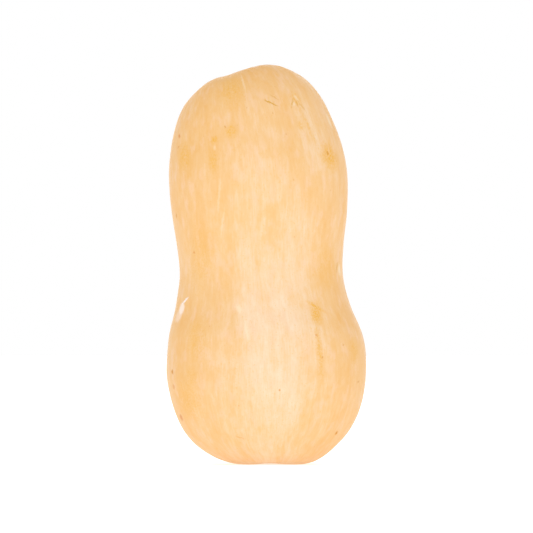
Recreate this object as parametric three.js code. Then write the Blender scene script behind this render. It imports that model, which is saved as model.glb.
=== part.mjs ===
// Butternut squash, as picked: one whole fruit standing on the rim of its blossom end, and the short
// woody stub of its stem in the dimple at the neck's end. Millimetres, +Z up, front towards -Y.
// The origin is the centre of the bounding box's base, on the surface that the fruit stands on.
import * as THREE from "three";

const { clamp, degToRad, smoothstep } = THREE.MathUtils;

// ---- Driving dimensions: millimetres, and degrees where the name says so ----

// The fruit is first turned as if it had grown straight. Points are [radius, height], from the flat rim
// that it stands on, over the bulb, waist, neck and crown, and down into the stem's dimple.
const SIDE_OUTLINE = [
  [17, 0], [24, 1.6], [31.5, 5.8], [43.6, 18.3], [51.2, 38], [52.3, 52], [50.8, 68], [45.8, 84],
  [42.9, 99], [43.5, 115], [46, 133], [46.9, 150], [44.4, 168], [40.6, 184], [33.5, 196], [25, 202.2],
  [17.5, 203.4], [12, 202], [9, 199.8],
];
// The shallow dimple of the blossom end, inside the rim.
const BLOSSOM_OUTLINE = [[0, 2.4], [5, 2], [9.5, 0.6], [12.5, 0]];

// The rim sits a little to the right of the bulb's axis, and the neck a little to the left of it.
const RIM_SHIFT = 2;
const RIM_SHIFT_HEIGHT = 12;
const NECK_SHIFT = -3.9;
const NECK_SHIFT_START = 52;
const NECK_SHIFT_END = 125;

// The upper neck bends over in one even curve, so that the stem's end faces up, left and back.
const BEND_START = 130;
const BEND_LENGTH = 70;
const LEAN_LEFT_DEGREES = 15.7;
const LEAN_BACK_DEGREES = 18;

// Five shallow folds run over the crown into the stem's dimple.
const FOLD_COUNT = 5;
const FOLD_DEPTH = 0.9;
const FOLD_START = 150;
const FOLD_FULL = 200;
const FOLD_END_RADIUS = 20;
const FOLD_FRONT_DEGREES = -84;

// The stem's stub is ridged like the crown, flares at its base and ends in a worn, slightly hollow break.
const STEM_GAP = 0.3;
const STEM_OUTLINE = [[7.4, 0], [6.5, 1.5], [6, 3.2], [6.2, 5], [5.6, 5.9], [3.6, 6]];
const STEM_HOLLOW = 5.2;
const STEM_RIDGE = 0.5;

// How finely the surfaces are divided.
const ROUND_STEPS = 50;
const SIDE_STEPS = 50;
const BLOSSOM_STEPS = 4;
const STEM_STEPS = 12;

// ---- Shape ----

// A smooth line through [radius, height] points, cut into equal steps.
function outline(points, steps) {
  return new THREE.SplineCurve(points.map(([x, y]) => new THREE.Vector2(x, y))).getSpacedPoints(steps);
}

// A solid of revolution that stands on Z.
function turned(points) {
  return new THREE.LatheGeometry(points, ROUND_STEPS).rotateX(Math.PI / 2);
}

// How far round the fruit a point lies, from 0 in the middle of a fold to 1 on the ridge between two.
function ridgeAt(point) {
  const angle = Math.atan2(point.y, point.x) - degToRad(FOLD_FRONT_DEGREES);
  return 0.5 - 0.5 * Math.cos(FOLD_COUNT * angle);
}

// The direction in which the neck leans, seen from above, and the whole angle that it turns through.
const lean = new THREE.Vector2(
  -Math.tan(degToRad(LEAN_LEFT_DEGREES)),
  Math.tan(degToRad(LEAN_BACK_DEGREES)),
);
const leanAngle = Math.atan(lean.length());
const bendRadius = BEND_LENGTH / leanAngle;
lean.normalize();

// Moves a point of the straight fruit to its place on the bent one.
function bend(point) {
  const { x, y, z } = point;
  const along = x * lean.x + y * lean.y;
  const across = y * lean.x - x * lean.y;
  const angle = leanAngle * clamp((z - BEND_START) / BEND_LENGTH, 0, 1);
  const beyond = Math.max(z - BEND_START - BEND_LENGTH, 0);
  const reach = along * Math.cos(angle) + bendRadius * (1 - Math.cos(angle)) + beyond * Math.sin(angle);
  const rise = bendRadius * Math.sin(angle) - along * Math.sin(angle) + beyond * Math.cos(angle);
  const rimShift = RIM_SHIFT * (1 - smoothstep(z, 0, RIM_SHIFT_HEIGHT));
  const neckShift = NECK_SHIFT * smoothstep(z, NECK_SHIFT_START, NECK_SHIFT_END);
  return point.set(
    reach * lean.x - across * lean.y + rimShift + neckShift,
    reach * lean.y + across * lean.x,
    Math.min(z, BEND_START) + rise,
  );
}

// Runs a change over every vertex of a geometry; the change gets the vertex and its normal.
function reshape(geometry, change) {
  const place = geometry.getAttribute("position");
  const facing = geometry.getAttribute("normal");
  const point = new THREE.Vector3();
  const normal = new THREE.Vector3();
  for (let i = 0; i < place.count; i += 1) {
    point.fromBufferAttribute(place, i);
    normal.fromBufferAttribute(facing, i);
    change(point, normal);
    place.setXYZ(i, point.x, point.y, point.z);
  }
  geometry.computeVertexNormals();
  return geometry;
}

// ---- Pieces ----

// The flat floor of the stem's dimple on the straight fruit.
const [dimpleRadius, dimpleFloor] = SIDE_OUTLINE.at(-1);

// How strongly the folds show: not at all on the bulb or on the dimple's floor, and fully on the crown.
function foldStrength(point) {
  const radius = Math.hypot(point.x, point.y);
  return smoothstep(point.z, FOLD_START, FOLD_FULL) * smoothstep(radius, dimpleRadius, FOLD_END_RADIUS);
}

function fruitGeometry() {
  const points = [
    ...outline(BLOSSOM_OUTLINE, BLOSSOM_STEPS),
    ...outline(SIDE_OUTLINE, SIDE_STEPS),
    new THREE.Vector2(0, dimpleFloor),
  ];
  return reshape(turned(points), (point, normal) => {
    point.addScaledVector(normal, -FOLD_DEPTH * foldStrength(point) * (1 - ridgeAt(point)));
    bend(point);
  });
}

function stemGeometry() {
  const points = [
    new THREE.Vector2(0, 0),
    ...outline(STEM_OUTLINE, STEM_STEPS),
    new THREE.Vector2(0, STEM_HOLLOW),
  ];
  return reshape(turned(points), (point) => {
    const radius = Math.hypot(point.x, point.y);
    const ridge = 1 + (STEM_RIDGE * ridgeAt(point)) / Math.max(radius, STEM_OUTLINE[0][0]);
    point.set(point.x * ridge, point.y * ridge, point.z + dimpleFloor + STEM_GAP);
    bend(point);
  });
}

// ---- Assembly ----

function piece(name, geometry, color, roughness) {
  const mesh = new THREE.Mesh(geometry, new THREE.MeshStandardMaterial({ color, roughness, metalness: 0 }));
  mesh.name = name;
  return mesh;
}

const fruit = piece("squash_fruit", fruitGeometry(), 0xf3c88e, 0.5);
const stem = piece("stem_stub", stemGeometry(), 0x9c855f, 0.85);

const squash = new THREE.Group();
squash.name = "butternut_squash";
squash.add(fruit, stem);

// The origin moves to the centre of the box's base.
const box = new THREE.Box3().setFromObject(squash, true);
const middle = box.getCenter(new THREE.Vector3());
squash.position.set(-middle.x, -middle.y, -box.min.z);

export default squash;
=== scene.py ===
"""A butternut squash standing on its blossom end, with the woody stub of its stem, on a pale floor.

The fruit and the stem are turned as if the fruit had grown straight, given their folds, lumps and ridges,
and then bent, as the plain solids of the frame are. Lengths are in millimetres until a mesh is made.
"""

import math

import bpy
import numpy as np
from bpy.props import FloatProperty, FloatVectorProperty, PointerProperty
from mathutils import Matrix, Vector


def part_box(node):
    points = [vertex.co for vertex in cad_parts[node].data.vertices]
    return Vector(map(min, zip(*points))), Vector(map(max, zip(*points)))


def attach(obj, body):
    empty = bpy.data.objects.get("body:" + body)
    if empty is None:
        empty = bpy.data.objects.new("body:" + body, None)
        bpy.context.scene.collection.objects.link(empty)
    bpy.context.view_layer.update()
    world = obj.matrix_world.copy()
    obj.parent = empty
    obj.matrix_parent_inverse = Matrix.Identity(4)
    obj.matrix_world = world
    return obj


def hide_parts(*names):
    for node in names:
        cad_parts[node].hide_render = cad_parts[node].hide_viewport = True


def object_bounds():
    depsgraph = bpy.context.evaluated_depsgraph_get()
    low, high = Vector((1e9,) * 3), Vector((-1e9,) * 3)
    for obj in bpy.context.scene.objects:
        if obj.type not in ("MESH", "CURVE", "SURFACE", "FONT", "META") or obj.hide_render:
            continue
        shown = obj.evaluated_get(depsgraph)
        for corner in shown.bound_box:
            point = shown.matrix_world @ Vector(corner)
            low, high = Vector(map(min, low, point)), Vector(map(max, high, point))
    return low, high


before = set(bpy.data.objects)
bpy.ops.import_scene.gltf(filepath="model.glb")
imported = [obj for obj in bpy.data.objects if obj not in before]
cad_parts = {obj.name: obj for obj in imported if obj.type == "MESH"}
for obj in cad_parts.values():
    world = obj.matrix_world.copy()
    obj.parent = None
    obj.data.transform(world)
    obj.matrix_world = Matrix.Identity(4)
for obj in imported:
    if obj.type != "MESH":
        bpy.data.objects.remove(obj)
CAD_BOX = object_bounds()

bl_info = {
    "name": "Butternut Squash",
    "version": (1, 0, 0),
    "blender": (4, 5, 0),
    "location": "3D View > Sidebar > Squash",
    "description": "Makes a butternut squash, its stem stub and a plain studio round them",
    "category": "Object",
}

MM = 0.001
TURN = 2 * math.pi

# ---- Shape of the fruit, shared with the frame ----

# [radius, height] on the straight fruit: the blossom end's dimple, then from the rim to the stem's dimple.
BLOSSOM_OUTLINE = [(0, 2.4), (5, 2), (9.5, 0.6), (12.5, 0)]
SIDE_OUTLINE = [
    (17, 0), (24, 1.6), (31.5, 5.8), (43.6, 18.3), (51.2, 38), (52.3, 52), (50.8, 68), (45.8, 84),
    (42.9, 99), (43.5, 115), (46, 133), (46.9, 150), (44.4, 168), (40.6, 184), (33.5, 196), (25, 202.2),
    (17.5, 203.4), (12, 202), (9, 199.8),
]
DIMPLE_RADIUS, DIMPLE_FLOOR = SIDE_OUTLINE[-1]
GIRTH = TURN * max(radius for radius, _ in SIDE_OUTLINE)

# The rim sits a little to the right of the bulb's axis, and the neck a little to the left of it.
RIM_SHIFT = 2
RIM_SHIFT_HEIGHT = 12
NECK_SHIFT = -3.9
NECK_SHIFT_RANGE = (52, 125)

# The upper neck bends over in one even curve: left and back.
BEND_START = 130
BEND_LENGTH = 70
LEAN_LEFT = math.radians(15.7)
LEAN_BACK = math.radians(18)

# Five shallow folds run over the crown into the stem's dimple; one of them is at the front.
FOLD_COUNT = 5
FOLD_RANGE = (150, 200)
FOLD_END_RADIUS = 20
FOLD_FRONT = math.radians(-84)

# Where the skin swells or sinks: [angle in degrees, distance along the outline from the blossom end's
# middle, spread in degrees, spread along, raise]. The angle is 0 at the right, 90 at the back, 180 at the
# left and 270 at the front.
SWELLS = [
    (180, 221, 35, 9, -0.5),
    (180, 200, 35, 8, 0.3),
    (180, 182, 35, 8, -0.3),
    (180, 123, 35, 9, 0.4),
    (180, 37, 35, 7, 0.4),
    (180, 74, 30, 7, -0.3),
    (180, 85, 30, 7, 0.3),
    (325, 237, 22, 9, -0.5),
    (355, 214, 25, 12, -0.45),
    (0, 75, 30, 9, -0.5),
    (252, 245, 19, 10, -1.3),
    (355, 119, 30, 14, -0.6),
    (0, 63, 30, 12, 0.6),
    (0, 153, 30, 14, 0.5),
    (0, 200, 30, 14, 0.5),
    (350, 29, 35, 5, -0.5),
    (0, 42, 30, 7, 0.15),
    # The rim sinks at the front and the back, so the fruit stands on its two sides.
    (270, 15, 28, 9, -0.7),
    (90, 15, 28, 9, -0.6),
    # The back is lumpy too.
    (100, 200, 40, 30, -0.8),
    (60, 95, 45, 25, 0.6),
    (130, 125, 35, 20, -0.6),
    (150, 60, 40, 20, 0.5),
    (85, 45, 40, 14, -0.5),
    (60, 238, 24, 9, -0.5),
    (135, 165, 25, 18, 0.4),
]

# Faint ribs along the fruit: [how many round it, turn, length over which they wander]. They fade out
# towards the blossom end, so that none reaches the rim, and towards the stem.
RIBS = [(9, 0.4, 37), (13, 2.1, 52), (17, 4.0, 29), (23, 5.2, 44), (31, 1.3, 35)]
RIB_WANDER = 0.9
RIB_FADE_BLOSSOM = (22, 45)
RIB_FADE_STEM = (10, 40)

# The blossom scar: a crusted disc with a button in its middle and cracks across it, a moat round it, and
# fine rays beyond the moat. The disc's and the button's heights are shares of the scar's height.
SCAR_RADIUS = 4.6
SCAR_DISC_HEIGHT = 0.55
SCAR_BUTTON_HEIGHT = 0.8
SCAR_BUTTON_EDGE = (1.9, 0.7)
CRACK_COUNT = 7
CRACK_DEPTH = 0.3
MOAT_DEPTH = 0.3
MOAT_WIDTH = 0.9
RAY_COUNT = 13
RAY_HEIGHT = 0.1

# The pucker round the stem has twice as many ridges as there are folds.
PUCKER_HEIGHT = 0.28

# The skin's grain runs round a cylinder of this radius, which closes in where the fruit is this narrow.
GRAIN_RADIUS = 45
GRAIN_CLOSING = (4, 24)

# [radius, height] of the stem above the dimple's floor. Its foot is sunk into the skin.
STEM_OUTLINE = [(8.1, -0.7), (7.3, 0.3), (6.5, 1.5), (6, 3.2), (6.2, 5), (5.7, 5.9), (3.6, 6), (0, 5.3)]
# How far the break reaches from its middle, along the outline, and how far its rings of colour spread.
STEM_CUT_LENGTH = 6.2
BREAK_RADIUS = 7
STEM_RIDGE_HEIGHT = 0.75
# The fibres round the stem: [how many, depth].
STEM_FIBRES = [(21, 0.11), (37, 0.07)]
STEM_LUMP_HEIGHT = 0.16

# ---- How finely the surfaces are divided ----

FRUIT_COLUMNS = 288
FRUIT_STEP = 1.3
FRUIT_END_STEP = 0.35
STEM_COLUMNS = 160
STEM_STEP = 0.2
LINE_SAMPLES = 400


def ease(value, low, high):
    """0 up to low, 1 from high, and smooth between them."""
    share = np.clip((value - low) / (high - low), 0, 1)
    return share * share * (3 - 2 * share)


def spline(points, samples=LINE_SAMPLES):
    """A smooth line through the points: the same even spline that the frame's outlines use."""
    points = np.array(points, float)
    last = len(points) - 1
    place = np.linspace(0, last, samples)
    index = np.minimum(place.astype(int), last - 1)
    share = (place - index)[:, None]
    before, start = points[np.maximum(index - 1, 0)], points[index]
    end, after = points[index + 1], points[np.minimum(index + 2, last)]
    leave, arrive = (end - before) / 2, (after - start) / 2
    return (
        (2 * start - 2 * end + leave + arrive) * share**3
        + (3 * end - 3 * start - 2 * leave - arrive) * share**2
        + leave * share
        + start
    )


def lengths(line):
    """How far along a line each of its points lies."""
    return np.concatenate([[0], np.cumsum(np.linalg.norm(np.diff(line, axis=0), axis=1))])


def softened(line, step=0.25, spread=1.0):
    """The line, evenly divided, with its corners rounded over the spread. Both ends are on the axis."""
    along = lengths(line)
    count = int(along[-1] / step)
    even = np.linspace(0, along[-1], count)
    line = np.stack([np.interp(even, along, line[:, k]) for k in (0, 1)], axis=1)
    reach = int(4 * spread / step)
    mirror = np.array([-1, 1])
    wide = np.concatenate([line[reach:0:-1] * mirror, line, line[-2 : -reach - 2 : -1] * mirror])
    weights = np.exp(-0.5 * (np.arange(-reach, reach + 1) * step / spread) ** 2)
    weights /= weights.sum()
    soft = np.stack([np.convolve(wide[:, k], weights, "valid") for k in (0, 1)], axis=1)
    soft[[0, -1], 0] = 0
    return soft


def graded(total, step, end_step, reach=14):
    """Places along a line, closer together near its two ends."""
    places = [0.0]
    while places[-1] < total:
        nearest = min(places[-1], abs(total - places[-1]))
        places.append(places[-1] + end_step + (step - end_step) * float(ease(nearest, 0, reach)))
    return np.array(places) * total / places[-1]


class Turned:
    """A turned surface on a grid: rows along its outline, columns round it, both ends on the axis."""

    def __init__(self, line, rows, columns):
        along = lengths(line)
        self.total = along[-1]
        self.along = rows
        # The first column, where the map's seam lies, is at the back, so the middle one is at the front.
        self.angle = (np.arange(columns) / columns - 0.5) * TURN - math.pi / 2
        self.radius, self.height = (np.interp(rows, along, line[:, k]) for k in (0, 1))
        slope = np.gradient(line, along, axis=0)
        out, up = (np.interp(rows, along, slope[:, k]) for k in (1, 0))
        size = np.hypot(out, up)
        self.normal_out, self.normal_up = out / size, -up / size

    def points(self, raised):
        """The grid's points, raised off the turned surface along its normals."""
        radius = self.radius[:, None] + self.normal_out[:, None] * raised
        height = self.height[:, None] + self.normal_up[:, None] * raised
        return np.stack(
            [radius * np.cos(self.angle), radius * np.sin(self.angle), height + 0 * self.angle], axis=2
        )


def bend(points):
    """Moves points of the straight fruit to their places on the bent one."""
    x, y, z = points[..., 0], points[..., 1], points[..., 2]
    lean = np.array([-math.tan(LEAN_LEFT), math.tan(LEAN_BACK)])
    whole = math.atan(np.linalg.norm(lean))
    lean /= np.linalg.norm(lean)
    bend_radius = BEND_LENGTH / whole
    along = x * lean[0] + y * lean[1]
    across = y * lean[0] - x * lean[1]
    angle = whole * np.clip((z - BEND_START) / BEND_LENGTH, 0, 1)
    beyond = np.maximum(z - BEND_START - BEND_LENGTH, 0)
    reach = along * np.cos(angle) + bend_radius * (1 - np.cos(angle)) + beyond * np.sin(angle)
    rise = (bend_radius - along) * np.sin(angle) + beyond * np.cos(angle)
    shift = RIM_SHIFT * (1 - ease(z, 0, RIM_SHIFT_HEIGHT)) + NECK_SHIFT * ease(z, *NECK_SHIFT_RANGE)
    return np.stack(
        [
            reach * lean[0] - across * lean[1] + shift,
            reach * lean[1] + across * lean[0],
            np.minimum(z, BEND_START) + rise,
        ],
        axis=-1,
    )


def turn_between(angle, degrees):
    """How many degrees round from the given one each angle lies, from -180 to 180."""
    return (np.degrees(angle) - degrees + 180) % 360 - 180


def ridge(angle):
    """0 in the middle of a fold and 1 on the ridge between two."""
    return 0.5 - 0.5 * np.cos(FOLD_COUNT * (angle - FOLD_FRONT))


def waves(places, count, shortest, longest, seed):
    """Smooth random swells over points in space, about 1 high."""
    random = np.random.default_rng(seed)
    total = 0
    for _ in range(count):
        direction = random.normal(size=3)
        direction /= np.linalg.norm(direction)
        wavelength = random.uniform(shortest, longest)
        total = total + np.sin(places @ direction * TURN / wavelength + random.uniform(0, TURN))
    return total / math.sqrt(count / 2)


# ---- Fruit ----


def fruit_surface():
    """The fruit's turned surface, from the blossom end's middle to the middle of the stem's dimple."""
    side = spline(SIDE_OUTLINE, 6 * LINE_SAMPLES)
    line = softened(np.concatenate([spline(BLOSSOM_OUTLINE), side, [(0, DIMPLE_FLOOR)]]))
    total = lengths(line)[-1]
    return Turned(line, graded(total, FRUIT_STEP, FRUIT_END_STEP), FRUIT_COLUMNS)


def fold_depths(surface):
    """How deep the folds lie at each point of the grid, as a share of their full depth."""
    strength = ease(surface.height, *FOLD_RANGE) * ease(surface.radius, DIMPLE_RADIUS, FOLD_END_RADIUS)
    return strength[:, None] * (1 - ridge(surface.angle))


def skin_swells(angle, along):
    """The hollows and lumps of the skin, in millimetres."""
    return sum(
        rise * np.exp(-((turn_between(angle, at) / spread) ** 2) - ((along - place) / reach) ** 2)
        for at, place, spread, reach, rise in SWELLS
    )


def skin_ribs(angle, from_blossom, from_stem):
    """The faint ribs, about 1 high."""
    ribs = sum(
        np.cos(count * angle + turn + RIB_WANDER * np.sin(from_blossom / length + turn))
        for count, turn, length in RIBS
    )
    return ribs / 3 * ease(from_blossom, *RIB_FADE_BLOSSOM) * ease(from_stem, *RIB_FADE_STEM)


def blossom_scar(angle, from_blossom, scar_height):
    """The scar in the middle of the blossom end, and what surrounds it, in millimetres."""
    edge = SCAR_RADIUS + 0.35 * np.sin(3 * angle + 1) + 0.2 * np.sin(7 * angle)
    disc = SCAR_DISC_HEIGHT * ease(from_blossom, edge, edge - 1)
    button = SCAR_BUTTON_HEIGHT * ease(from_blossom, *SCAR_BUTTON_EDGE)
    cracks = ease(np.cos(CRACK_COUNT * angle + 1.1 * np.sin(2 * angle) + 0.6 * from_blossom), 0.75, 1)
    cracks = cracks * ease(from_blossom, 0.9, 1.8) * ease(from_blossom, edge + 0.5, edge - 0.8)
    moat = np.exp(-(((from_blossom - edge - 0.6) / MOAT_WIDTH) ** 2))
    rays = np.cos(RAY_COUNT * angle + 1.2 * np.sin(3 * angle))
    rays = rays * ease(from_blossom, 4, 6) * ease(from_blossom, 12, 7)
    return scar_height * (disc + button) - CRACK_DEPTH * cracks - MOAT_DEPTH * moat + RAY_HEIGHT * rays


def stem_pucker(angle, from_stem):
    """The small ridges that run into the stem's dimple, in millimetres."""
    pucker = PUCKER_HEIGHT * np.cos(2 * FOLD_COUNT * (angle - FOLD_FRONT) + 0.5 * np.sin(2 * angle))
    return pucker * ease(from_stem, 8, 11) * (1 - ease(from_stem, 13, 24))


def fruit_relief(surface, shape):
    """The fine shape of the skin: folds, lumps, faint ribs, the blossom scar and the stem's pucker."""
    angle, from_blossom = surface.angle[None, :], surface.along[:, None]
    from_stem = surface.total - from_blossom
    relief = -shape.fold_depth / MM * fold_depths(surface)
    relief = relief + skin_swells(angle, from_blossom) * shape.swell
    relief = relief + skin_ribs(angle, from_blossom, from_stem) * shape.rib_depth / MM
    relief = relief + blossom_scar(angle, from_blossom, shape.scar_height / MM)
    return relief + stem_pucker(angle, from_stem)


def frame_shift(surface, shape):
    """The level step that brings the middle of the bent fruit's box to the middle of the CAD fruit's."""
    plain = bend(surface.points(-shape.fold_depth / MM * fold_depths(surface)))
    low, high = (np.array(corner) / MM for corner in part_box("squash_fruit"))
    middle = (plain.min((0, 1)) + plain.max((0, 1))) / 2
    step = (low + high) / 2 - middle
    step[2] = 0
    return step


def grid_mesh(name, points, around, along, grain):
    """A closed mesh from a grid of points in millimetres whose first and last rows are each one point.

    It gets a map that runs round and along the piece, and the grain's coordinates at each vertex.
    """
    rows, columns = points.shape[:2]
    vertices = np.concatenate([points[:1, 0], points[1:-1].reshape(-1, 3), points[-1:, 0]])
    grains = np.concatenate([grain[:1, 0], grain[1:-1].reshape(-1, 3), grain[-1:, 0]])
    grains[0, :2] = grains[-1, :2] = 0
    column = np.arange(columns)
    following = (column + 1) % columns
    last = len(vertices) - 1
    left, right, middle = around[:-1], around[1:], (around[:-1] + around[1:]) / 2
    faces, maps = [], []

    def add(corners, places):
        faces.extend(np.stack(corners, axis=1).tolist())
        maps.append(np.stack([np.stack(np.broadcast_arrays(*place), axis=1) for place in places], axis=1))

    start = 1 + column
    add([0 * column, 1 + following, start], [(middle, along[0]), (right, along[1]), (left, along[1])])
    for row in range(1, rows - 2):
        below = 1 + (row - 1) * columns
        above = below + columns
        low, high = along[row], along[row + 1]
        add(
            [below + column, below + following, above + following, above + column],
            [(left, low), (right, low), (right, high), (left, high)],
        )
    end = 1 + (rows - 3) * columns
    add(
        [end + column, end + following, last + 0 * column],
        [(left, along[-2]), (right, along[-2]), (middle, along[-1])],
    )

    mesh = bpy.data.meshes.new(name)
    mesh.from_pydata((vertices * MM).tolist(), [], faces)
    places = np.concatenate([part.reshape(-1, 2) for part in maps])
    mesh.uv_layers.new(name="OFBake").data.foreach_set("uv", places.astype(np.float32).ravel())
    layer = mesh.attributes.new("grain", "FLOAT_VECTOR", "POINT")
    layer.data.foreach_set("vector", grains.astype(np.float32).ravel())
    mesh.polygons.foreach_set("use_smooth", np.ones(len(faces), bool))
    mesh.update()
    mesh.validate()
    return mesh


def grain_of(surface):
    """Seamless coordinates of the skin's grain in millimetres: round a cylinder, and along the outline."""
    wide = ease(surface.radius, *GRAIN_CLOSING)
    radius = (GRAIN_RADIUS * wide + surface.radius * (1 - wide))[:, None]
    across = [radius * np.cos(surface.angle), radius * np.sin(surface.angle)]
    return np.stack(np.broadcast_arrays(*across, surface.along[:, None]), axis=2)


def add_piece(name, mesh, node, material):
    """Puts a finished mesh in the scene in place of its CAD node."""
    piece = bpy.data.objects.new(name, mesh)
    bpy.context.scene.collection.objects.link(piece)
    piece.data.materials.append(material)
    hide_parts(node)
    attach(piece, "root")
    return piece


# ---- Marks on the skin ----

# The marks as seen from the front: [kind, x, z, half length, half width, tilt from upright, strength], in
# millimetres and degrees. A positive tilt leans a mark's top to the right. A strength of 1 is a mark's full
# colour; a cream mark, a broad pale patch that is partly the skin's own and partly a painted highlight,
# only makes the skin's tone paler, and may be stronger.
FRONT_MARKS = [
    # The four cream marks: broad pale patches, partly the skin's own and partly a painted highlight on the
    # front.
    ("cream", 6.0, 66.0, 62.0, 24.0, 0, 1.35),
    ("cream", -8.0, 24.0, 18.0, 26.0, 0, 0.8),
    ("cream", 1.0, 142.0, 44.0, 20.0, 0, 0.6),
    ("cream", 26.0, 172.0, 26.0, 11.0, -14, 0.6),
    ("scratch", 2.0, 189.7, 3.6, 0.42, 112, 1.0),
    ("scratch", 4.2, 191.8, 2.6, 0.25, 125, 0.45),
    ("scratch", 13.2, 189.5, 2.2, 0.3, 10, 0.7),
    ("pale", 15.6, 191.2, 2.4, 0.6, -38, 0.45),
    ("ochre", 15.0, 192.0, 3.2, 1.8, -30, 0.6),
    ("scratch", 15.4, 188.6, 1.8, 0.3, -25, 0.6),
    ("pale", 14.0, 189.0, 1.2, 0.7, 0, 0.5),
    ("ochre", 22.5, 176.5, 11.0, 0.8, -25, 0.35),
    ("scratch", 18.5, 187.0, 3.6, 0.3, -38, 0.4),
    ("pale", 32.8, 180.5, 3.8, 0.5, -22, 0.5),
    ("ochre", 18.3, 177.0, 2.0, 1.6, 0, 0.48),
    ("ochre", 33.5, 162.0, 6.0, 3.4, -8, 0.75),
    ("brown", 32.0, 163.2, 1.0, 0.4, 0, 0.6),
    ("rust", -45.9, 172.4, 0.9, 0.6, 20, 0.8),
    ("rust", -46.3, 166.6, 0.6, 0.45, 0, 0.6),
    ("ochre", -43.0, 162.0, 6.0, 3.0, -12, 0.6),
    ("brown", -22.0, 176.5, 0.5, 0.4, 0, 0.5),
    ("ochre", -19.0, 174.5, 2.6, 2.3, 0, 0.7),
    ("ochre", -27.5, 170.5, 2.0, 1.6, 0, 0.65),
    ("pale", -27.0, 165.5, 1.4, 0.6, 0, 0.35),
    ("ochre", -28.0, 158.5, 5.5, 2.4, -5, 0.48),
    ("pale", -12.3, 200.4, 4.6, 0.5, -16, 0.4),
    ("pale", -24.6, 141.0, 9.0, 0.6, 4, 0.3),
    ("pale", -22.6, 126.0, 7.0, 0.5, 8, 0.3),
    ("brown", -47.2, 130.4, 1.0, 0.3, 12, 0.6),
    ("ochre", -35.0, 108.0, 14.0, 6.0, 4, 0.28),
    ("rust", -37.9, 111.6, 0.7, 0.6, 0, 0.6),
    ("scratch", 36.8, 103.5, 2.6, 0.3, 8, 0.6),
    ("pale", 38.0, 101.5, 2.4, 0.6, 0, 0.6),
    ("ochre", 32.0, 105.0, 10.0, 5.0, 0, 0.28),
    ("cork", -43.1, 86.0, 2.9, 0.45, 40, 1.0),
    ("cork", -44.6, 81.6, 2.7, 1.45, 30, 0.8),
    ("cork", -46.0, 78.0, 2.9, 1.6, 8, 0.42),
    ("ochre", -18.0, 196.5, 7.0, 6.0, 30, 0.45),
    ("ochre", 25.6, 83.4, 4.2, 0.8, -58, 0.85),
    ("ochre", 26.0, 79.6, 4.4, 2.6, 0, 0.7),
    ("ochre", 28.0, 60.0, 14.0, 1.3, -6, 0.5),
    ("rust", 25.9, 68.6, 0.7, 0.6, 0, 0.5),
    ("brown", 28.6, 57.0, 0.5, 0.5, 0, 0.6),
    ("ochre", 46.0, 60.0, 6.0, 2.0, -4, 0.5),
    ("brown", 40.3, 62.8, 0.45, 0.4, 0, 0.5),
    ("brown", 47.9, 42.9, 0.5, 0.5, 0, 0.6),
    ("brown", 7.2, 39.2, 0.6, 0.5, 0, 0.6),
    ("ochre", -36.5, 65.0, 10.0, 4.5, 5, 0.35),
    ("ochre", -39.5, 46.5, 5.0, 3.0, 0, 0.35),
    ("ochre", -41.0, 35.0, 10.0, 4.5, -12, 0.4),
    ("brown", -49.4, 48.2, 1.1, 0.45, 0, 0.9),
    ("rust", -48.4, 40.4, 1.2, 0.6, -12, 0.5),
    ("rust", -44.7, 24.6, 1.6, 0.6, -30, 0.8),
    ("brown", 36.4, 16.4, 0.7, 0.6, 0, 1.0),
    ("scratch", -14.4, 14.4, 2.2, 0.25, -75, 0.45),
    # These two pale marks on the middle of the bulb are painted highlights.
    ("pale", -14.8, 81.8, 2.4, 1.2, -30, 0.6),
    ("pale", -10.4, 70.0, 5.4, 0.7, -10, 0.5),
]
# The front view shows what lies before this depth.
FRONT_DEPTH = 2


def placed_marks(surface, points):
    """The marks on the map: [kind, around, along, half length, half width, tilt in radians, strength]."""
    hidden = np.where(points[:, :, 1] < FRONT_DEPTH, 0, np.inf)
    column_width = GIRTH / FRUIT_COLUMNS
    marks = []
    for kind, x, z, half_length, half_width, tilt, strength in FRONT_MARKS:
        away = np.hypot(points[:, :, 0] - x, points[:, :, 2] - z) + hidden
        row, column = np.unravel_index(away.argmin(), away.shape)
        # How the front view's x and z change along the map's two directions.
        row_width = surface.along[row + 1] - surface.along[row - 1]
        around = (points[row, column + 1] - points[row, column - 1]) / (2 * column_width)
        along = (points[row + 1, column] - points[row - 1, column]) / row_width
        to_map = np.linalg.inv(np.stack([around[[0, 2]], along[[0, 2]]], axis=1))
        lean = math.radians(tilt)
        length = to_map @ (half_length * math.sin(lean), half_length * math.cos(lean))
        width = to_map @ (half_width * math.cos(lean), -half_width * math.sin(lean))
        reach = math.hypot(*length)
        breadth = abs(length[0] * width[1] - length[1] * width[0]) / reach
        place = (column * column_width, surface.along[row])
        marks.append((kind, *place, reach, breadth, math.atan2(*length), strength))
    return marks


# ---- Shader expressions ----


class Value:
    """A socket that takes part in Python expressions: each operator adds a Math node."""

    def __init__(self, shader, socket):
        self.shader = shader
        self.socket = socket

    def __add__(self, other):
        return self.shader.math("ADD", self, other)

    def __sub__(self, other):
        return self.shader.math("SUBTRACT", self, other)

    def __rsub__(self, other):
        return self.shader.math("SUBTRACT", other, self)

    def __mul__(self, other):
        return self.shader.math("MULTIPLY", self, other)

    __radd__ = __add__
    __rmul__ = __mul__


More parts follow.
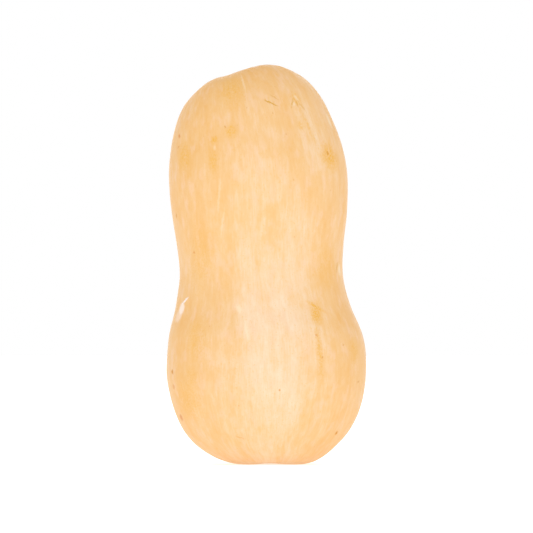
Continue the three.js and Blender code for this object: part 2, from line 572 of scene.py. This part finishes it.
class Shader:
    """A node tree, and the methods that add nodes to it."""

    def __init__(self, tree):
        self.tree = tree
        tree.nodes.clear()

    def node(self, kind, settings, sockets):
        """Adds one node: its settings, then its sockets' values or links. Returns its outputs by name."""
        made = self.tree.nodes.new(kind)
        for name, value in settings.items():
            if name == "stops":
                self.set_stops(made.color_ramp, value)
            else:
                setattr(made, name, value)
        for key, value in sockets.items():
            shown = made.inputs if isinstance(key, int) else {s.name: s for s in made.inputs if s.enabled}
            if isinstance(value, Value):
                self.tree.links.new(value.socket, shown[key])
            else:
                shown[key].default_value = value
        return {out.name: Value(self, out) for out in made.outputs if out.enabled}

    @staticmethod
    def set_stops(ramp, stops):
        """Gives a colour ramp these [position, colour] stops."""
        while len(ramp.elements) < len(stops):
            ramp.elements.new(1)
        for element, (position, color) in zip(ramp.elements, stops):
            element.position = position
            element.color = color

    def math(self, operation, *values):
        return self.node("ShaderNodeMath", {"operation": operation}, dict(enumerate(values)))["Value"]

    def vector(self, operation, *values):
        """A vector from two vectors, or a number where the operation is a length."""
        found = self.node("ShaderNodeVectorMath", {"operation": operation}, dict(enumerate(values)))
        return found.get("Vector") or found["Value"]

    def ease(self, value, low, high, most=1.0):
        """0 on low's side, the most on high's side, and smooth between them."""
        sockets = {"Value": value, "From Min": low, "From Max": high, "To Max": most}
        return self.node("ShaderNodeMapRange", {"interpolation_type": "SMOOTHSTEP"}, sockets)["Result"]

    def noise(self, place, across, along, detail=2.0, offset=0.0):
        """Noise of about 0 to 1, in patches of these sizes in millimetres, across and along the grain."""
        scale = (1 / across, 1 / across, 1 / along)
        sockets = {"Vector": place, "Location": (offset, -offset, offset), "Scale": scale}
        moved = self.node("ShaderNodeMapping", {}, sockets)["Vector"]
        sockets = {"Vector": moved, "Scale": 1.0, "Detail": detail, "Roughness": 0.55}
        return self.node("ShaderNodeTexNoise", {}, sockets)["Fac"]

    def scattered(self, place, scale):
        """Points scattered one to a cell, with this many cells to a millimetre across and along the grain.

        Returns the distance to the nearest point, in cells, and that point's random Red, Green and Blue.
        """
        across, along = scale
        sockets = {"Vector": place, "Scale": (across, across, along)}
        cells = self.node("ShaderNodeMapping", {}, sockets)["Vector"]
        sockets = {"Vector": cells, "Scale": 1.0, "Randomness": 1.0}
        nearest = self.node("ShaderNodeTexVoronoi", {}, sockets)
        return nearest["Distance"], self.node("ShaderNodeSeparateColor", {}, {"Color": nearest["Color"]})

    def mix(self, under, over, factor):
        """The first colour where the factor is 0, and the second where it is 1."""
        sockets = {"Factor": factor, "A": under, "B": over}
        return self.node("ShaderNodeMix", {"data_type": "RGBA"}, sockets)["Result"]

    def surface(self, sockets, height=None):
        """Ends a material's tree in a Principled shader. The height is in millimetres."""
        if height is not None:
            bump = {"Height": height, "Distance": MM, "Strength": 1.0}
            sockets = {**sockets, "Normal": self.node("ShaderNodeBump", {}, bump)["Normal"]}
        shader = self.node("ShaderNodeBsdfPrincipled", {}, sockets)["BSDF"]
        self.node("ShaderNodeOutputMaterial", {}, {"Surface": shader})


def new_material(name):
    """An empty material that takes nodes."""
    material = bpy.data.materials.new(name)
    material.use_nodes = True
    return material


def rgba(color):
    """The colour, opaque."""
    return (*color, 1.0)


# ---- Skin ----

# How far a mark's edge fades, as a share of its half width.
MARK_EDGES = {"cream": 1.0, "ochre": 0.85, "pale": 0.7, "cork": 0.4}
SMALL_MARK_EDGE = 0.5

# The skin's noises: [size across the grain, size along it, detail, offset]. The larger ones are soft
# blotches drawn out along the grain; the smaller ones are streaks and speckles.
SKIN_NOISES = {
    "fibre": (0.5, 6, 4, 3),
    "thread": (1.4, 13, 3, 7),
    "band": (4.5, 36, 3, 11),
    "blotch": (14, 26, 4, 17),
    "mottle": (3.2, 5, 5, 23),
    "blush": (4, 9, 4, 41),
    "speckle": (0.8, 1.0, 2, 31),
}

# Pores and flecks, and the larger tan spots: cells to a millimetre, across and along the grain.
FLECK_CELLS = (0.16, 0.13)
SPOT_CELLS = (0.05, 0.038)
# The spots fade in from the front, where the marks are placed one by one, towards the back.
SPOTS_FADE = (-25, 5)


def mark_mask(shader, place, mark):
    """The mark's strength on it and 0 off it: an ellipse on the map with soft edges."""
    kind, around, along, half_length, half_width, tilt, strength = mark
    sockets = {
        "Vector": place,
        "Location": (around, along, 0),
        "Rotation": (0, 0, -tilt),
        "Scale": (half_width, half_length, 1),
    }
    local = shader.node("ShaderNodeMapping", {"vector_type": "TEXTURE"}, sockets)["Vector"]
    soft = MARK_EDGES.get(kind, SMALL_MARK_EDGE)
    return shader.ease(shader.vector("LENGTH", local), 1 + soft, 1 - soft, strength)


def gathered_marks(shader, place, marks):
    """One mask for each kind of mark, each the strongest of its marks."""
    masks = {}
    for mark in marks:
        mask = mark_mask(shader, place, mark)
        kind = mark[0]
        masks[kind] = shader.math("MAXIMUM", masks[kind], mask) if kind in masks else mask
    return masks


def skin_tone(shader, colors, noise, cream, from_blossom, from_stem):
    """The skin's main colour: from ochre at tone 0 to cream at 1, with pink blotches and fine speckle."""
    tone = 0.75 * noise["blotch"] + 0.36 * noise["band"] + 0.5 * noise["mottle"]
    tone = tone + 0.32 * noise["thread"] + 0.42 * noise["fibre"] - 0.81
    # It is palest in the middle of the front, partly the skin's own paler patches and partly a painted
    # highlight where the front light falls, and round the base. It deepens a little over the crown: partly
    # the skin's own deeper tone near the stem and partly painted shade on the top, which faces away from
    # the front light.
    crown_tone_and_shade = shader.ease(from_stem, 80, 15, 0.15)
    base = shader.ease(from_blossom, 48, 26, 0.14)
    tone = tone + 0.36 * cream - crown_tone_and_shade + base
    stops = [(0.0, rgba(colors.ochre)), (0.5, rgba(colors.peach)), (1.0, rgba(colors.cream))]
    color = shader.node("ShaderNodeValToRGB", {"stops": stops}, {"Fac": tone})["Color"]
    color = shader.mix(color, rgba(colors.blush), shader.ease(noise["blush"], 0.48, 0.7, 0.5))
    return shader.mix(color, rgba(colors.ochre_patch), shader.ease(noise["speckle"], 0.55, 0.78, 0.36))


def skin_flecks(shader, grain):
    """The mask of the pores and flecks."""
    distance, chances = shader.scattered(grain, FLECK_CELLS)
    return shader.ease(distance, 0.085, 0.03) * shader.ease(chances["Red"], 0.62, 0.7)


def add_spots(shader, colors, color, grain, wander):
    """Ragged tan spots on the sides and back, some of them with a dark speck in the middle."""
    depth = shader.node("ShaderNodeSeparateXYZ", {}, {"Vector": grain})["Y"]
    behind = shader.ease(depth, *SPOTS_FADE)
    distance, chances = shader.scattered(shader.vector("ADD", grain, wander), SPOT_CELLS)
    spot = shader.ease(distance, 0.2, 0.05) * shader.ease(chances["Red"], 0.4, 0.9) * behind
    color = shader.mix(color, rgba(colors.ochre_patch), spot * 0.7)
    speck = shader.ease(distance, 0.045, 0.025) * shader.ease(chances["Green"], 0.5, 0.6) * behind
    return shader.mix(color, rgba(colors.rust), speck * 0.8)


def add_marks(shader, colors, color, masks, speckle):
    """The placed marks. The ochre ones break up into speckles."""
    patches = masks["ochre"] * (0.5 + shader.ease(speckle, 0.35, 0.62))
    color = shader.mix(color, rgba(colors.ochre_patch), patches)
    # The pale marks are scuffs and creases, and two painted highlights on the middle of the bulb.
    color = shader.mix(color, rgba(colors.pale), masks["pale"])
    color = shader.mix(color, rgba(colors.scratch), masks["scratch"])
    color = shader.mix(color, rgba(colors.rust), masks["rust"])
    color = shader.mix(color, rgba(colors.fleck), masks["brown"])
    return shader.mix(color, rgba(colors.cork), masks["cork"])


def make_skin(colors, marks, total):
    """Satin skin: cream, peach and ochre streaks along the grain, blotches, pores, flecks and its marks."""
    material = new_material("squash_skin")
    shader = Shader(material.node_tree)
    grain = shader.node("ShaderNodeAttribute", {"attribute_name": "grain"}, {})["Vector"]
    unwrapped = shader.node("ShaderNodeUVMap", {"uv_map": "OFBake"}, {})["UV"]

    # How far a point lies from the blossom end's middle, and from the middle of the stem's dimple.
    from_blossom = shader.node("ShaderNodeSeparateXYZ", {}, {"Vector": grain})["Z"]
    from_stem = total - from_blossom

    # Masks of the marks, whose edges wander by about half a millimetre.
    torn = {"Vector": grain, "Scale": 0.9, "Detail": 3.0}
    wander = shader.node("ShaderNodeTexNoise", {}, torn)["Color"]
    wander = shader.vector("MULTIPLY", shader.vector("SUBTRACT", wander, (0.5, 0.5, 0.5)), (2, 2, 0))
    place = shader.vector("MULTIPLY", unwrapped, (GIRTH, total, 0))
    masks = gathered_marks(shader, shader.vector("ADD", place, wander), marks)

    noise = {name: shader.noise(grain, *settings) for name, settings in SKIN_NOISES.items()}
    # The skin's tone, with a painted highlight on the front and painted shade over the crown.
    color = skin_tone(shader, colors, noise, masks["cream"], from_blossom, from_stem)
    fleck = skin_flecks(shader, grain)
    color = shader.mix(color, rgba(colors.fleck), fleck * 0.35)
    color = add_spots(shader, colors, color, grain, wander)
    color = add_marks(shader, colors, color, masks, noise["speckle"])

    # The corky blossom scar in pale skin, and the tanned skin round the stem, all with ragged edges.
    ragged = noise["mottle"] * 2.4 + from_blossom
    crust = shader.noise(grain, 0.7, 0.9, detail=4, offset=47)
    color = shader.mix(color, rgba(colors.pale), shader.ease(ragged, 11, 6, 0.5))
    cork = shader.mix(rgba(colors.scar), rgba(colors.crust), shader.ease(crust, 0.36, 0.66))
    cork = shader.mix(cork, rgba(colors.scar), shader.ease(ragged, 3.4, 2.4, 0.8))
    scar = shader.ease(ragged, 6.5, 5.4)
    color = shader.mix(color, cork, scar * 0.9)
    collar = shader.ease(noise["mottle"] * 5 + from_stem, 16, 10.5)
    color = shader.mix(color, rgba(colors.collar), collar * 0.7)

    speckle = noise["speckle"]
    roughness = 0.5 + 0.12 * (speckle - 0.5) + 0.25 * masks["cork"] + 0.2 * scar + 0.15 * collar
    height = 0.045 * noise["thread"] + 0.02 * noise["fibre"] + 0.03 * speckle + 0.08 * noise["blotch"]
    height = height - 0.05 * fleck - 0.12 * masks["scratch"] - 0.1 * masks["brown"]
    height = height + masks["cork"] * (0.12 + 0.2 * noise["mottle"])
    height = height + scar * (0.5 * crust) + collar * (0.25 * speckle)
    shader.surface({"Base Color": color, "Roughness": roughness, "Specular IOR Level": 0.25}, height)
    return material


# ---- Stem ----


def stem_points(surface):
    """The stub, with five ridges in line with the crown's own, fibres, and a ragged break."""
    angle, height = surface.angle[None, :], surface.height[:, None]
    side = ease(surface.total - surface.along, STEM_CUT_LENGTH - 0.6, STEM_CUT_LENGTH)[:, None]
    ridges = STEM_RIDGE_HEIGHT * ridge(angle) ** 1.5 * (0.75 + 0.5 * (1 - ease(height, 0, 2.5)))
    (coarse, coarse_depth), (fine, fine_depth) = STEM_FIBRES
    grooves = coarse_depth * np.cos(coarse * angle + 1.1 * np.sin(4 * angle) + 0.25 * height)
    grooves = grooves + fine_depth * np.cos(fine * angle + 2 + 0.5 * np.sin(height))
    flat = surface.points(0)
    lumps = waves(flat, 14, 3.5, 9, seed=5) * STEM_LUMP_HEIGHT
    ragged = waves(flat * (1, 1, 0.2), 20, 1.1, 3.2, seed=8) * STEM_LUMP_HEIGHT
    reach = ease(surface.radius, 0, 2)[:, None]
    raised = ((ridges + grooves) * side + lumps + ragged * (1 - side)) * reach
    points = surface.points(raised)
    points[:, :, 2] += DIMPLE_FLOOR
    return points


def stem_surface():
    """The stem's turned surface, from its sunk foot to the middle of its break."""
    line = np.concatenate([[(0, STEM_OUTLINE[0][1])], spline(STEM_OUTLINE)])
    line = softened(line, step=0.05, spread=0.2)
    total = lengths(line)[-1]
    return Turned(line, graded(total, STEM_STEP, STEM_STEP, reach=1), STEM_COLUMNS)


def make_stem_wood(colors, total):
    """Dry, corky wood with fibres along it. Its break shows their ends: a pale ring round a darker pith."""
    material = new_material("stem_wood")
    shader = Shader(material.node_tree)
    grain = shader.node("ShaderNodeAttribute", {"attribute_name": "grain"}, {})["Vector"]
    unwrapped = shader.node("ShaderNodeUVMap", {"uv_map": "OFBake"}, {})["UV"]
    from_top = total - total * shader.node("ShaderNodeSeparateXYZ", {}, {"Vector": unwrapped})["Y"]
    from_axis = shader.vector("LENGTH", shader.vector("MULTIPLY", grain, (1, 1, 0)))
    fibre = shader.noise(grain, 0.4, 5, detail=4, offset=2)
    strand = shader.noise(grain, 1.1, 9, detail=3, offset=5)
    lump = shader.noise(grain, 2.2, 2.6, detail=4, offset=9)
    crumb = shader.noise(grain, 0.25, 0.35, detail=3, offset=13)

    side = shader.mix(rgba(colors.bark), rgba(colors.groove), shader.ease(fibre, 0.5, 0.74))
    side = shader.mix(side, rgba(colors.cork), shader.ease(strand, 0.48, 0.75, 0.7))
    side = shader.mix(side, rgba(colors.green), shader.ease(lump, 0.55, 0.72, 0.2))

    # From the middle of the break outwards: spongy pith, pale wood and brown rind.
    reach = (1.6 * lump + from_axis - 0.8) * (1 / BREAK_RADIUS)
    bands = [(0.12, colors.pith), (0.34, colors.cut), (0.66, colors.cut), (0.9, colors.bark)]
    stops = [(position, rgba(band)) for position, band in bands]
    face = shader.node("ShaderNodeValToRGB", {"stops": stops}, {"Fac": reach})["Color"]
    face = shader.mix(face, rgba(colors.groove), shader.ease(fibre, 0.54, 0.72, 0.6))
    face = shader.mix(face, rgba(colors.cork), shader.ease(crumb, 0.5, 0.75, 0.5))
    cut = shader.ease(strand - 0.5 + from_top, STEM_CUT_LENGTH, STEM_CUT_LENGTH - 0.8)
    color = shader.mix(side, face, cut)

    roughness = 0.82 + 0.12 * (fibre - 0.5)
    height = 0.18 * fibre + 0.2 * strand + 0.1 * lump + 0.1 * crumb
    shader.surface({"Base Color": color, "Roughness": roughness, "Specular IOR Level": 0.3}, height)
    return material


# ---- Stage ----

FLOOR_RADIUS = 6.0
FLOOR_SIDES = 128
# The air has its overhead colour above the first height and its horizon colour below the second. Both are
# sines of the angle above the horizon.
HORIZON_FADE = (0.6, 0.08)

# Two square soft lights, in metres: one at the front and one behind, both a little above the fruit.
LIGHT_WIDTH = 1.6
KEY_PLACE = (0, -2.1, 0.6)
BACK_PLACE = (0, 2.2, 0.5)


def make_floor_paint(color, glow):
    """Matt white paint with an even glow of its own, as on a light table."""
    material = new_material("floor_paint")
    sockets = {
        "Base Color": rgba(color),
        "Roughness": 0.9,
        "Specular IOR Level": 0.2,
        "Emission Color": (1, 1, 1, 1),
        "Emission Strength": glow,
    }
    Shader(material.node_tree).surface(sockets)
    return material


def make_floor(material):
    """A round floor that reaches past the camera."""
    angles = [TURN * side / FLOOR_SIDES for side in range(FLOOR_SIDES)]
    corners = [(FLOOR_RADIUS * math.cos(angle), FLOOR_RADIUS * math.sin(angle), 0) for angle in angles]
    mesh = bpy.data.meshes.new("floor")
    mesh.from_pydata(corners, [], [list(range(FLOOR_SIDES))])
    mesh.materials.append(material)
    floor = bpy.data.objects.new("floor", mesh)
    bpy.context.scene.collection.objects.link(floor)


def make_world(horizon, overhead):
    """Air with one colour at the horizon, which is the plain background, and another overhead."""
    world = bpy.data.worlds.new("studio_air")
    world.use_nodes = True
    shader = Shader(world.node_tree)
    way = shader.node("ShaderNodeTexCoord", {}, {})["Generated"]
    height = shader.node("ShaderNodeSeparateXYZ", {}, {"Vector": way})["Z"]
    color = shader.mix(rgba(overhead), rgba(horizon), shader.ease(height, *HORIZON_FADE))
    air = shader.node("ShaderNodeBackground", {}, {"Color": color, "Strength": 1.0})["Background"]
    shader.node("ShaderNodeOutputWorld", {}, {"Surface": air})
    bpy.context.scene.world = world


def make_light(name, power, place, target):
    """A square soft light that faces the target."""
    data = bpy.data.lights.new(name, "AREA")
    data.shape = "SQUARE"
    data.size = LIGHT_WIDTH
    data.energy = power
    light = bpy.data.objects.new(name, data)
    light.location = place
    towards = Vector(target) - Vector(place)
    light.rotation_euler = towards.to_track_quat("-Z", "Y").to_euler()
    bpy.context.scene.collection.objects.link(light)


def make_camera(distance, frame_height, aim_side, aim_height):
    """A level camera at the front, far enough away for a flat, natural view."""
    data = bpy.data.cameras.new("camera")
    data.lens = data.sensor_width * distance / frame_height
    data.clip_end = 100
    camera = bpy.data.objects.new("camera", data)
    camera.location = (-aim_side, -distance, aim_height)
    camera.rotation_euler = (math.pi / 2, 0, 0)
    bpy.context.scene.collection.objects.link(camera)
    bpy.context.scene.camera = camera


# ---- Settings ----


def length_setting(name, description, default, highest):
    """A length in metres."""
    values = {"default": default, "min": 0, "max": highest}
    return FloatProperty(name=name, description=description, unit="LENGTH", precision=5, **values)


def amount_setting(name, description, default, highest):
    """A plain number."""
    return FloatProperty(name=name, description=description, default=default, min=0, max=highest)


def power_setting(name, description, default):
    """A light's power in watts."""
    return FloatProperty(name=name, description=description, default=default, min=0, unit="POWER")


def color_setting(name, description, default):
    """A colour, as linear red, green and blue."""
    values = {"default": default, "min": 0, "max": 1}
    return FloatVectorProperty(name=name, description=description, size=3, subtype="COLOR", **values)


class SquashShapeSettings(bpy.types.PropertyGroup):
    """Fine shape of the fruit."""

    fold_depth: length_setting("Fold depth", "Depth of the folds over the crown", 0.0009, 0.004)
    swell: amount_setting("Swell", "How much the skin swells and sinks", 1, 3)
    rib_depth: length_setting("Rib depth", "Depth of the faint ribs along the fruit", 0.00012, 0.001)
    scar_height: length_setting("Scar height", "How far the blossom scar stands out", 0.0007, 0.002)


class SquashSkinSettings(bpy.types.PropertyGroup):
    """Colours of the skin."""

    peach: color_setting("Peach", "Main colour of the skin", (0.757, 0.479, 0.224))
    # The cream colour is also the colour of the painted highlight on the front.
    cream: color_setting("Cream", "Pale streaks", (0.788, 0.610, 0.434))
    ochre: color_setting("Ochre", "Darker streaks and blotches", (0.738, 0.398, 0.115))
    ochre_patch: color_setting("Ochre patch", "Orange-brown patches", (0.735, 0.388, 0.065))
    # The pale scuff colour also paints two highlights on the middle of the bulb.
    pale: color_setting("Pale scuff", "Light scuffs and creases", (0.81, 0.660, 0.465))
    scratch: color_setting("Scratch", "Healed scratches", (0.62, 0.32, 0.04))
    rust: color_setting("Rust", "Reddish specks", (0.62, 0.225, 0.035))
    fleck: color_setting("Fleck", "Small brown flecks and pores", (0.58, 0.235, 0.015))
    blush: color_setting("Blush", "Faint pinkish blotches", (0.775, 0.527, 0.338))
    cork: color_setting("Cork", "Pinkish-white corky scar", (0.87, 0.745, 0.66))
    scar: color_setting("Blossom scar", "Dark cork of the blossom scar", (0.34, 0.20, 0.10))
    crust: color_setting("Crust", "Pale crust on the blossom scar", (0.60, 0.44, 0.27))
    collar: color_setting("Collar", "Tanned skin round the stem", (0.55, 0.36, 0.16))


class SquashStemSettings(bpy.types.PropertyGroup):
    """Colours of the stem."""

    bark: color_setting("Bark", "Main colour of the stub", (0.43, 0.27, 0.12))
    groove: color_setting("Groove", "Dark gaps between the fibres", (0.16, 0.10, 0.05))
    cork: color_setting("Cork", "Pale dry ridges", (0.62, 0.45, 0.26))
    green: color_setting("Green", "What is left of the green", (0.30, 0.27, 0.11))
    cut: color_setting("Break", "Pale wood of the broken end", (0.58, 0.41, 0.22))
    pith: color_setting("Pith", "Spongy middle of the broken end", (0.27, 0.16, 0.07))


class SquashStageSettings(bpy.types.PropertyGroup):
    """The studio round the fruit."""

    floor: color_setting("Floor", "Colour of the floor", (0.8, 0.8, 0.8))
    floor_glow: amount_setting("Floor glow", "Light from the floor itself", 0.55, 10)
    horizon: color_setting("Horizon", "Air at the horizon", (1.0, 1.0, 1.0))
    overhead: color_setting("Overhead", "Air overhead", (0.96, 0.96, 0.96))
    key_power: power_setting("Key light", "Soft light from the front", 9.6)
    back_power: power_setting("Back light", "Soft light from behind", 8)
    distance: length_setting("Camera distance", "From the fruit's axis to the camera", 5.0, 20)
    frame_height: length_setting("View height", "Height of the view at the fruit", 0.28, 2)
    aim_side: length_setting("Aim to the left", "How far left of the axis the camera stands", 0.00005, 1)
    aim_height: length_setting("Aim height", "Height of the view's middle", 0.10385, 1)


# ---- Operators ----


class SQUASH_OT_fruit(bpy.types.Operator):
    """Makes the whole fruit and its skin."""

    bl_idname = "squash.fruit"
    bl_label = "Fruit"

    def execute(self, context):
        shape, colors = context.scene.squash_shape, context.scene.squash_skin
        surface = fruit_surface()
        shift = frame_shift(surface, shape)
        points = bend(surface.points(fruit_relief(surface, shape))) + shift
        points[:, :, 2] -= points[:, :, 2].min()
        around = np.linspace(0, 1, FRUIT_COLUMNS + 1)
        mesh = grid_mesh("fruit", points, around, surface.along / surface.total, grain_of(surface))
        skin = make_skin(colors, placed_marks(surface, points), surface.total)
        add_piece("fruit", mesh, "squash_fruit", skin)
        return {"FINISHED"}


class SQUASH_OT_stem(bpy.types.Operator):
    """Makes the stub of the stem in its dimple."""

    bl_idname = "squash.stem"
    bl_label = "Stem"

    def execute(self, context):
        fruit = fruit_surface()
        shift = frame_shift(fruit, context.scene.squash_shape)
        surface = stem_surface()
        points = bend(stem_points(surface)) + shift
        around = np.linspace(0, 1, STEM_COLUMNS + 1)
        # The grain of solid wood is simply its place on the straight stem.
        mesh = grid_mesh("stem", points, around, surface.along / surface.total, surface.points(0))
        wood = make_stem_wood(context.scene.squash_stem, surface.total)
        add_piece("stem", mesh, "stem_stub", wood)
        return {"FINISHED"}


class SQUASH_OT_stage(bpy.types.Operator):
    """Makes the floor, the lights and the camera."""

    bl_idname = "squash.stage"
    bl_label = "Stage"

    def execute(self, context):
        stage = context.scene.squash_stage
        middle = (0, 0, (CAD_BOX[0].z + CAD_BOX[1].z) / 2)
        make_world(stage.horizon, stage.overhead)
        make_floor(make_floor_paint(stage.floor, stage.floor_glow))
        make_light("key_light", stage.key_power, KEY_PLACE, middle)
        make_light("back_light", stage.back_power, BACK_PLACE, middle)
        make_camera(stage.distance, stage.frame_height, stage.aim_side, stage.aim_height)
        context.scene.view_settings.view_transform = "Standard"
        return {"FINISHED"}


# ---- Panel ----


class SQUASH_PT_panel(bpy.types.Panel):
    """Lists the settings and what can be made."""

    bl_idname = "SQUASH_PT_panel"
    bl_label = "Butternut Squash"
    bl_space_type = "VIEW_3D"
    bl_region_type = "UI"
    bl_category = "Squash"

    def draw(self, context):
        scene = context.scene
        parts = (
            (SQUASH_OT_fruit, (scene.squash_shape, scene.squash_skin)),
            (SQUASH_OT_stem, (scene.squash_stem,)),
            (SQUASH_OT_stage, (scene.squash_stage,)),
        )
        for operator, groups in parts:
            box = self.layout.box()
            box.operator(operator.bl_idname)
            for group in groups:
                for name in group.__annotations__:
                    box.prop(group, name)


SETTINGS = {
    "squash_shape": SquashShapeSettings,
    "squash_skin": SquashSkinSettings,
    "squash_stem": SquashStemSettings,
    "squash_stage": SquashStageSettings,
}
CLASSES = (*SETTINGS.values(), SQUASH_OT_fruit, SQUASH_OT_stem, SQUASH_OT_stage, SQUASH_PT_panel)


def register():
    for item in CLASSES:
        bpy.utils.register_class(item)
    for name, group in SETTINGS.items():
        setattr(bpy.types.Scene, name, PointerProperty(type=group))


def unregister():
    for name in SETTINGS:
        delattr(bpy.types.Scene, name)
    for item in reversed(CLASSES):
        bpy.utils.unregister_class(item)


def main():
    """Makes everything: the fruit, the stem and the stage."""
    register()
    bpy.ops.squash.fruit()
    bpy.ops.squash.stem()
    bpy.ops.squash.stage()


if __name__ == "__main__":
    main()
